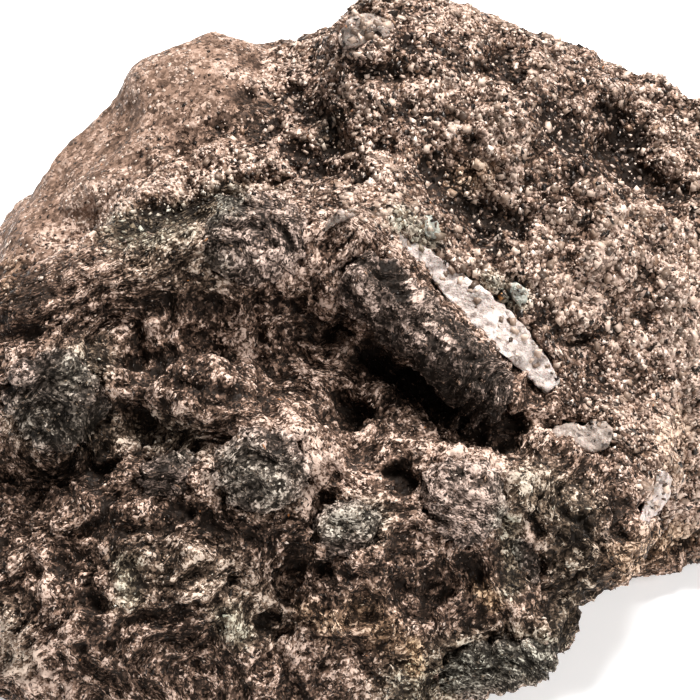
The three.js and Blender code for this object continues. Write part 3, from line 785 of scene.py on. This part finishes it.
def mica_stone(name, stops, tint, pale_share, tilt, flake_length):
    stone = bpy.data.materials.new(name)
    stone.use_nodes = True
    shader = stone.node_tree.nodes["Principled BSDF"]
    place = add(stone, "TexCoord").outputs["Object"]
    # Small noise tears the sheets' edges. The sheet's number is divided by the scale that the node
    # multiplies it by.
    torn = add(stone, "TexNoise", (("Vector", place), ("Scale", TEARS_PER_METRE), ("Detail", 2)))
    depth = reckon(stone, "MULTIPLY_ADD", torn.outputs[0], TEAR, attribute(stone, "sheet"))
    depth = reckon(stone, "MULTIPLY", depth, flake_length / SHEET_PITCH)
    flake = add(stone, "TexVoronoi", (("Vector", place), ("W", depth), ("Scale", 1 / flake_length)),
                voronoi_dimensions="4D")
    grain = add(stone, "TexVoronoi", (("Vector", place), ("Scale", 1 / GRAIN)), voronoi_dimensions="3D")
    flake_parts = add(stone, "SeparateColor", ((0, flake.outputs["Color"]),))
    grain_parts = add(stone, "SeparateColor", ((0, grain.outputs["Color"]),))
    # The shade adds up large patches, flakes, grains, the strokes' tones and painted shade: darker in the
    # hollows and lighter on the ridges.
    patches = add(stone, "TexNoise", (("Vector", place), ("Scale", PATCHES_PER_METRE), ("Detail", 2)))
    shade = reckon(stone, "MULTIPLY_ADD", patches.outputs[0], PATCH_SHARE, -PATCH_SHARE / 2)
    shade = reckon(stone, "MULTIPLY_ADD", flake_parts.outputs[0], FLAKE_SHARE, shade)
    shade = reckon(stone, "MULTIPLY_ADD", grain_parts.outputs[0], GRAIN_SHARE, shade)
    shade = reckon(stone, "MULTIPLY_ADD", attribute(stone, "pale"), pale_share, shade)
    shade = reckon(stone, "MULTIPLY_ADD", attribute(stone, "sunk"), HOLLOW_PAINTED_SHADE, shade)
    # Wear leaves the smooth part of an even tone.
    worn = reckon(stone, "MULTIPLY", attribute(stone, "smooth"), WORN_SHARE)
    shade = add(stone, "Mix", ((0, worn), (2, shade), (3, WORN_SHADE))).outputs[0]
    colour = shade_ramp(stone, shade, stops)
    green = washed(stone, "green", colour, tinted(stone, colour, tint))
    stained = washed(stone, "rust", green, tinted(stone, colour, RUSTY))
    stone.node_tree.links.new(stained, shader.inputs["Base Color"])
    rough = reckon(stone, "MULTIPLY_ADD", flake_parts.outputs[1], ROUGH_SPREAD, ROUGH_LEAST)
    stone.node_tree.links.new(rough, shader.inputs["Roughness"])
    # Each flake leans its own way.
    lean = reckon_vector(stone, "SUBTRACT", flake.outputs["Color"], (0.5, 0.5, 0.5))
    normal = add(stone, "NewGeometry").outputs["Normal"]
    lean = reckon_vector(stone, "MULTIPLY_ADD", lean, (tilt, tilt, tilt), normal)
    lean = reckon_vector(stone, "NORMALIZE", lean)
    stone.node_tree.links.new(lean, shader.inputs["Normal"])
    shader.inputs["Specular IOR Level"].default_value = SCHIST_GLOSS
    shader.inputs["Specular Tint"].default_value = SCHIST_GLINT
    return stone


def fit_in_place(piece, node, finish):
    """Gives a stone its notes and finish, and puts it in its node's place."""
    note_zones(piece.data)
    piece.data.materials.clear()
    piece.data.materials.append(finish)
    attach(piece, "root")
    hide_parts(node)


# The tone from black through bronze to cream, as the shade rises.
SCHIST_STOPS = (
    (0.12, (0.008, 0.005, 0.0035)),
    (0.36, (0.026, 0.0155, 0.0105)),
    (0.54, (0.09, 0.054, 0.038)),
    (0.7, (0.235, 0.146, 0.104)),
    (0.9, (0.62, 0.455, 0.37)),
)
schist_finish = mica_stone("mica schist", SCHIST_STOPS, tint=(0.8, 1.0, 0.96), pale_share=0.35, tilt=0.9,
                           flake_length=0.0006)
fit_in_place(schist, "schist_matrix", schist_finish)


# The alexandrite crystals. Blocky six-sided crystals, dark blue-green, grown tight in the schist and
# worn round. Each is an even mesh of its solid, swelled to fill its socket, with growth lines on it.
CRYSTAL_PITCH = 0.00035
CRYSTAL_WEAR = 6
CRYSTAL_SWELL = 0.3
CRYSTAL_PALE_LIFT = 0.35
CRYSTAL_DARK_DEPTH = 0.9
CRYSTALS = [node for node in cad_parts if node.startswith("alexandrite")]
CRYSTAL_STOPS = (
    (0.12, (0.007, 0.005, 0.0038)),
    (0.38, (0.023, 0.016, 0.012)),
    (0.57, (0.076, 0.054, 0.044)),
    (0.75, (0.2, 0.142, 0.115)),
    (0.95, (0.54, 0.405, 0.34)),
)
crystal_finish = mica_stone("worn alexandrite", CRYSTAL_STOPS, tint=(0.78, 1.0, 0.98), pale_share=0.4,
                            tilt=0.8, flake_length=0.00045)
crystals = []
for node in sorted(CRYSTALS):
    crystal = solid_copy(node.replace("alexandrite", "crystal"), node, CRYSTAL_PITCH, CRYSTAL_WEAR)
    points, normals = points_of(crystal.data), normals_of(crystal.data)
    face = on_face(points)
    facing = normals @ np.array(OUT)
    growth = ledges(sheet_depth(face), height=0.9, pitch=1.5) + waves(face, height=0.5, pitch=3.4, seed=11)
    growth += lumps(face, height=0.55, pitch=2.7, seed=12) + lumps(face, height=0.45, pitch=1.1, seed=13)
    growth += waves(face, height=0.12, pitch=0.5, seed=14)
    growth += CRYSTAL_PALE_LIFT * zone_share(face, facing, PALE)
    growth -= CRYSTAL_DARK_DEPTH * zone_share(face, facing, DARK)
    move_points(crystal.data, points + normals * (CRYSTAL_SWELL + growth)[:, None] * MM)
    fit_in_place(crystal, node, crystal_finish)
    crystals.append(crystal)


# The quartz. Milky veins and patches with a pink cast, grey clouds and fine specks, hard and worn
# smooth. Each is an even mesh of its solid, sunk a little so that the schist laps over its edge.
QUARTZ_PITCH = 0.0003
QUARTZ_WEAR = 5
CLOUDS_PER_METRE = 600
SPECKS_PER_METRE = 2200
CRUMBS_PER_METRE = 2600
SPECK_SHARE = 0.3
CRUMB_SHARE = 0.8
CRUMB_DEPTH = 0.0003
QUARTZ_GLOSS = 0.25
MILKINESS = 0.1
MILKY_DEPTH = 0.0006


def milky_stone(name, pure, light, deep, roughness):
    stone = bpy.data.materials.new(name)
    stone.use_nodes = True
    shader = stone.node_tree.nodes["Principled BSDF"]
    place = add(stone, "TexCoord").outputs["Object"]
    cloud = add(stone, "TexNoise", (("Vector", place), ("Scale", CLOUDS_PER_METRE), ("Detail", 5),
                                    ("Roughness", 0.7)))
    speck = add(stone, "TexVoronoi", (("Vector", place), ("Scale", SPECKS_PER_METRE)))
    speck_parts = add(stone, "SeparateColor", ((0, speck.outputs["Color"]),))
    shade = reckon(stone, "MULTIPLY_ADD", speck_parts.outputs[0], SPECK_SHARE, cloud.outputs[0])
    middling = tuple((a + 2 * b) / 3 for a, b in zip(deep, light))
    colour = shade_ramp(stone, shade, ((0.44, deep), (0.54, middling), (0.7, light), (0.95, pure)))
    stone.node_tree.links.new(colour, shader.inputs["Base Color"])
    crumbs = add(stone, "TexNoise", (("Vector", place), ("Scale", CRUMBS_PER_METRE), ("Detail", 3)))
    relief = reckon(stone, "MULTIPLY_ADD", crumbs.outputs[0], CRUMB_SHARE, shade)
    bump = add(stone, "Bump", (("Strength", 1.0), ("Distance", CRUMB_DEPTH), ("Height", relief)))
    stone.node_tree.links.new(bump.outputs[0], shader.inputs["Normal"])
    shader.inputs["Roughness"].default_value = roughness
    shader.inputs["Specular IOR Level"].default_value = QUARTZ_GLOSS
    shader.inputs["Subsurface Weight"].default_value = MILKINESS
    shader.inputs["Subsurface Scale"].default_value = MILKY_DEPTH
    return stone


def milky_grain(node, name, finish, swell, relief):
    grain = solid_copy(name, node, QUARTZ_PITCH, QUARTZ_WEAR)
    points, normals = points_of(grain.data), normals_of(grain.data)
    face = on_face(points)
    worn = waves(face, height=0.5, pitch=1.8, seed=31) + lumps(face, height=0.4, pitch=1.3, seed=32)
    worn += waves(face, height=0.2, pitch=0.7, seed=33)
    move_points(grain.data, points + normals * (swell + relief * worn)[:, None] * MM)
    fit_in_place(grain, node, finish)
    return grain


vein_finish = milky_stone("vein quartz", pure=(0.73, 0.645, 0.605), light=(0.49, 0.41, 0.37),
                          deep=(0.18, 0.138, 0.118), roughness=0.75)
clouded_finish = milky_stone("clouded quartz", pure=(0.55, 0.46, 0.41), light=(0.27, 0.21, 0.175),
                             deep=(0.05, 0.036, 0.029), roughness=0.6)
vein = milky_grain("quartz_vein", "milky_quartz_vein", vein_finish, swell=-0.12, relief=0.6)
clouded_grains = []
for node in ("quartz_stringer", "quartz_bleb", "quartz_rim", "quartz_peak"):
    name = node.replace("quartz", "milky_quartz")
    finish = vein_finish if node == "quartz_rim" else clouded_finish
    clouded_grains.append(milky_grain(node, name, finish, swell=-0.05, relief=0.6))

# The green grains. Two glassy pale green grains sit in the upper edge of the vein, each an even mesh of
# its solid, worn round, in a milky green finish.
green_finish = milky_stone("pale green grain", pure=(0.53, 0.52, 0.455), light=(0.36, 0.355, 0.305),
                           deep=(0.15, 0.138, 0.115), roughness=0.6)
green_grains = [
    milky_grain(node, node + "_glassy", green_finish, swell=-0.22, relief=0.8)
    for node in ("green_grain_upper", "green_grain_lower")
]


# The loose flakes of mica. Each is a thin plate with four uneven corners over a root that holds it in
# the stone. They lie along the sheets and tilt every way, so some catch the light and most don't.
FLAKE_ROOT = 0.45
NOTES = ("pale", "green", "rust", "sunk", "grainy", "smooth")
MORE_ON_SHOW_FACE = 2.2
SHOW_FACE_EDGE = 3
SHEET_STEP = 0.0004
# How far a flake tilts, how much less it does where the stone is worn or coarse, and how much it leans
# across the sheets and turns along them.
TILT = 0.36
TILT_LOST_TO_WEAR = 0.2
TILT_LOST_IN_GRAINS = 0.1
LEAN_ACROSS = 0.4
TURN = 0.3
TURN_IN_GRAINS = 1.5
LENGTH_IN_SHEETS = 0.75
GRAINS_LENGTHEN = 0.5
WEAR_SHORTENS = 0.4
GRAINS_WIDEN = 0.4
UNEVEN_LEAST = 0.65
UNEVEN_MOST = 1.25
GREEN_WASH = (0.78, 1.0, 0.97)
RUSTY_WASH = (1.02, 0.95, 0.74)
FLAKE_GLINT = (1, 0.88, 0.8, 1)


def flake_form():
    """A flake with its flat side up, 1 across the corners, its root below."""
    form = bmesh.new()
    bmesh.ops.create_cone(form, cap_ends=True, segments=4, radius1=0.5, radius2=0, depth=1)
    bmesh.ops.rotate(form, verts=form.verts, matrix=Euler((math.pi, 0, 0)).to_matrix())
    bmesh.ops.translate(form, verts=form.verts, vec=(0, 0, -0.5))
    bmesh.ops.scale(form, verts=form.verts, vec=(1, 1, FLAKE_ROOT))
    return form


def scatter_places(hosts, count, draw, weigh):
    """Random places on the hosts' triangles, more where weigh says so: point, normal and its notes."""
    spots = []
    for host, share in hosts:
        mesh = host.data
        mesh.calc_loop_triangles()
        triangles = np.empty(len(mesh.loop_triangles) * 3, dtype=np.int32)
        mesh.loop_triangles.foreach_get("vertices", triangles)
        triangles = triangles.reshape(-1, 3)
        first = triangles[:, 0]
        notes = {}
        for name in NOTES:
            values = np.empty(len(mesh.vertices), dtype=np.float32)
            mesh.attributes[name].data.foreach_get("value", values)
            notes[name] = values[first]
        normals = normals_of(mesh)[first]
        corner = points_of(mesh)[triangles]
        area = np.linalg.norm(np.cross(corner[:, 1] - corner[:, 0], corner[:, 2] - corner[:, 0]), axis=1)
        on_show_face = 1 + MORE_ON_SHOW_FACE * np.clip(normals @ np.array(OUT) * SHOW_FACE_EDGE, 0, 1)
        spots.append((share * area * on_show_face * weigh(notes), corner, normals, notes))
    chance = np.concatenate([s[0] for s in spots])
    corner = np.concatenate([s[1] for s in spots])
    normal = np.concatenate([s[2] for s in spots])
    notes = {k: np.concatenate([s[3][k] for s in spots]) for k in NOTES}
    chosen = draw.choice(len(chance), count, p=chance / chance.sum())
    share = draw.dirichlet((1, 1, 1), count)
    place = (corner[chosen] * share[:, :, None]).sum(axis=1)
    return place, normal[chosen], {k: v[chosen] for k, v in notes.items()}


def unit(vectors):
    return vectors / np.maximum(np.linalg.norm(vectors, axis=1, keepdims=True), 1e-9)


def sheet_direction(place):
    """The way across the mica sheets at each place."""
    here = sheet_depth(on_face(place))
    slope = [sheet_depth(on_face(place + SHEET_STEP * axis)) - here for axis in np.eye(3)]
    return unit(np.stack(slope, axis=1))


def joined_copies(name, verts, faces):
    """One mesh of many copies of a form: each has a row of verts of its own and the same faces."""
    count, corner_count = verts.shape[:2]
    first_vert = np.arange(count)[:, None] * corner_count
    first_loop = np.concatenate([[0], np.cumsum([len(f) for f in faces])])
    loops = np.concatenate(faces)[None, :] + first_vert
    begins = first_loop[None, :-1] + np.arange(count)[:, None] * first_loop[-1]
    mesh = bpy.data.meshes.new(name)
    mesh.vertices.add(count * corner_count)
    mesh.vertices.foreach_set("co", verts.astype(np.float32).ravel())
    mesh.loops.add(loops.size)
    mesh.loops.foreach_set("vertex_index", loops.astype(np.int32).ravel())
    mesh.polygons.add(begins.size)
    mesh.polygons.foreach_set("loop_start", begins.astype(np.int32).ravel())
    mesh.update(calc_edges=True)
    return mesh


def scatter(name, form, hosts, count, seed, size, ratio, weigh, proud, rarity=2):
    """One piece made of many copies of a small form: size and ratio are (least, most).

    The higher the rarity, the fewer of them are large."""
    draw = np.random.default_rng(seed)
    place, normal, notes = scatter_places(hosts, count, draw, weigh)
    coarse = notes["grainy"]
    across = sheet_direction(place)
    across *= np.sign((across * normal).sum(axis=1, keepdims=True) + 1e-6)
    tilt = (TILT - TILT_LOST_TO_WEAR * notes["smooth"] - TILT_LOST_IN_GRAINS * coarse)[:, None]
    lean = LEAN_ACROSS * across * (1 - coarse)[:, None]
    top = unit(normal + lean + tilt * draw.normal(size=(count, 3)))
    turn = (TURN + TURN_IN_GRAINS * coarse)[:, None]
    along = unit(np.cross(normal, across) + turn * draw.normal(size=(count, 3)))
    side = unit(np.cross(top, along))
    along = np.cross(side, top)
    length = size[0] + (size[1] - size[0]) * draw.uniform(0, 1, count) ** rarity
    length *= (LENGTH_IN_SHEETS + GRAINS_LENGTHEN * coarse) * (1 - WEAR_SHORTENS * notes["smooth"])
    width = length * (draw.uniform(*ratio, count) + GRAINS_WIDEN * coarse)
    corners = np.array([v.co for v in form.verts])
    faces = [[v.index for v in f.verts] for f in form.faces]
    form.free()
    uneven = draw.uniform(UNEVEN_LEAST, UNEVEN_MOST, (count, len(corners)))
    local = corners[None, :, :] * uneven[:, :, None]
    verts = (place + normal * proud)[:, None, :]
    verts = verts + along[:, None, :] * (local[:, :, 0] * length[:, None])[:, :, None]
    verts = verts + side[:, None, :] * (local[:, :, 1] * width[:, None])[:, :, None]
    verts = verts + top[:, None, :] * (corners[None, :, 2] * length[:, None])[:, :, None]
    verts[:, :, 2] = np.maximum(verts[:, :, 2], REST_LEVEL)
    mesh = joined_copies(name, verts, faces)
    note(mesh, "tone", np.repeat(draw.uniform(0, 1, count), len(corners)))
    note(mesh, "green", np.repeat(notes["green"], len(corners)))
    note(mesh, "rust", np.repeat(notes["rust"], len(corners)))
    piece = bpy.data.objects.new(name, mesh)
    bpy.context.scene.collection.objects.link(piece)
    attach(piece, "root")
    return piece


def grain_finish(name, stops, roughness, gloss, metallic=0.0):
    """Each flake or grain has a tone of its own, washed green or rusty where the stone under it is."""
    finish = bpy.data.materials.new(name)
    finish.use_nodes = True
    shader = finish.node_tree.nodes["Principled BSDF"]
    colour = shade_ramp(finish, attribute(finish, "tone"), stops)
    colour = washed(finish, "green", colour, tinted(finish, colour, GREEN_WASH))
    colour = washed(finish, "rust", colour, tinted(finish, colour, RUSTY_WASH))
    finish.node_tree.links.new(colour, shader.inputs["Base Color"])
    shader.inputs["Roughness"].default_value = roughness
    shader.inputs["Metallic"].default_value = metallic
    shader.inputs["Specular IOR Level"].default_value = gloss
    shader.inputs["Specular Tint"].default_value = FLAKE_GLINT
    return finish


def share_of(notes, start, **shares):
    """A start and a share of each note named."""
    for name, share in shares.items():
        start = start + share * notes[name]
    return start


# How thickly the flakes lie on each stone, against the schist.
ON_CRYSTALS = 0.85
ON_VEIN = 0.04
ON_OTHER_GRAINS = 0.22
mica_hosts = [(schist, 1.0)] + [(crystal, ON_CRYSTALS) for crystal in crystals] + [(vein, ON_VEIN)]
mica_hosts += [(grain, ON_OTHER_GRAINS) for grain in clouded_grains + green_grains]
# Where they lie paints shade too: pale and bronze flakes thin out in the hollows and the dark strokes and
# gather on the ridges, and dark flakes gather in the dark strokes.
dark_mica = scatter(
    "dark_mica", flake_form(), mica_hosts, count=24000, seed=101,
    size=(0.0003, 0.0010), ratio=(0.2, 0.5), proud=0.00002,
    weigh=lambda notes: share_of(notes, 1, pale=-0.5) * share_of(notes, 1, smooth=-0.8),
)
dark_mica.data.materials.append(grain_finish(
    "dark mica", ((0.0, (0.005, 0.0035, 0.003)), (0.6, (0.014, 0.009, 0.0065)), (1.0, (0.05, 0.032, 0.023))),
    roughness=0.35, gloss=0.4))
bronze_mica = scatter(
    "bronze_mica", flake_form(), mica_hosts, count=30000, seed=102,
    size=(0.00022, 0.0009), ratio=(0.2, 0.5), proud=0.00003,
    weigh=lambda notes: share_of(notes, 1, sunk=-0.5) * share_of(notes, 1, smooth=-0.8)
    * share_of({"dark": np.minimum(notes["pale"], 0)}, 1, dark=0.6),
)
bronze_mica.data.materials.append(grain_finish(
    "bronze mica", ((0.0, (0.042, 0.024, 0.017)), (0.7, (0.16, 0.096, 0.066)), (0.996, (0.26, 0.16, 0.105)),
                    (0.998, (0.5, 0.17, 0.04))),
    roughness=0.35, gloss=0.5, metallic=0.2))
pale_mica = scatter(
    "pale_mica", flake_form(), mica_hosts, count=31000, seed=103,
    size=(0.0002, 0.0009), ratio=(0.2, 0.5), proud=0.00003,
    weigh=lambda notes: np.clip(
        share_of(notes, 0.3, pale=0.9, grainy=0.35, sunk=-0.6, smooth=-0.7),
        0.02 + 0.25 * notes["grainy"] * (1 - notes["smooth"]), 2),
)
pale_mica.data.materials.append(grain_finish(
    "pale mica", ((0.0, (0.2, 0.13, 0.1)), (0.6, (0.42, 0.3, 0.235)), (1.0, (0.7, 0.56, 0.47))),
    roughness=0.35, gloss=0.6, metallic=0.1))


# The loose grains. Blocky cream and pinkish grains of quartz and feldspar stand out of the coarse part
# of the stone. Each is an uneven flat block, half sunk in the surface.
BLOCK_SIDE = 0.8
BLOCK_FLATNESS = 0.5
ON_QUARTZ = 0.8


def grain_form():
    """A flat block, its side a little under 1."""
    form = bmesh.new()
    bmesh.ops.create_cube(form, size=BLOCK_SIDE)
    bmesh.ops.scale(form, verts=form.verts, vec=(1, 1, BLOCK_FLATNESS))
    return form


grain_hosts = [(schist, 1.0)] + [(grain, ON_QUARTZ) for grain in [vein] + clouded_grains + green_grains]
# Like the pale flakes they thin out in the hollows, a painted shade.
pale_grains = scatter(
    "pale_grains", grain_form(), grain_hosts, count=9000, seed=104,
    size=(0.00022, 0.00092), ratio=(0.1, 0.5), proud=-0.00007, rarity=3,
    weigh=lambda notes: np.clip(share_of(notes, 0, grainy=1, smooth=-0.9), 0.03, 1)
    * np.clip(share_of(notes, 0.5, pale=0.9, sunk=-0.4), 0.2, 2),
)
pale_grains.data.materials.append(grain_finish(
    "cream grains", ((0.0, (0.05, 0.032, 0.023)), (0.5, (0.26, 0.178, 0.13)), (1.0, (0.62, 0.475, 0.385))),
    roughness=0.4, gloss=0.4))
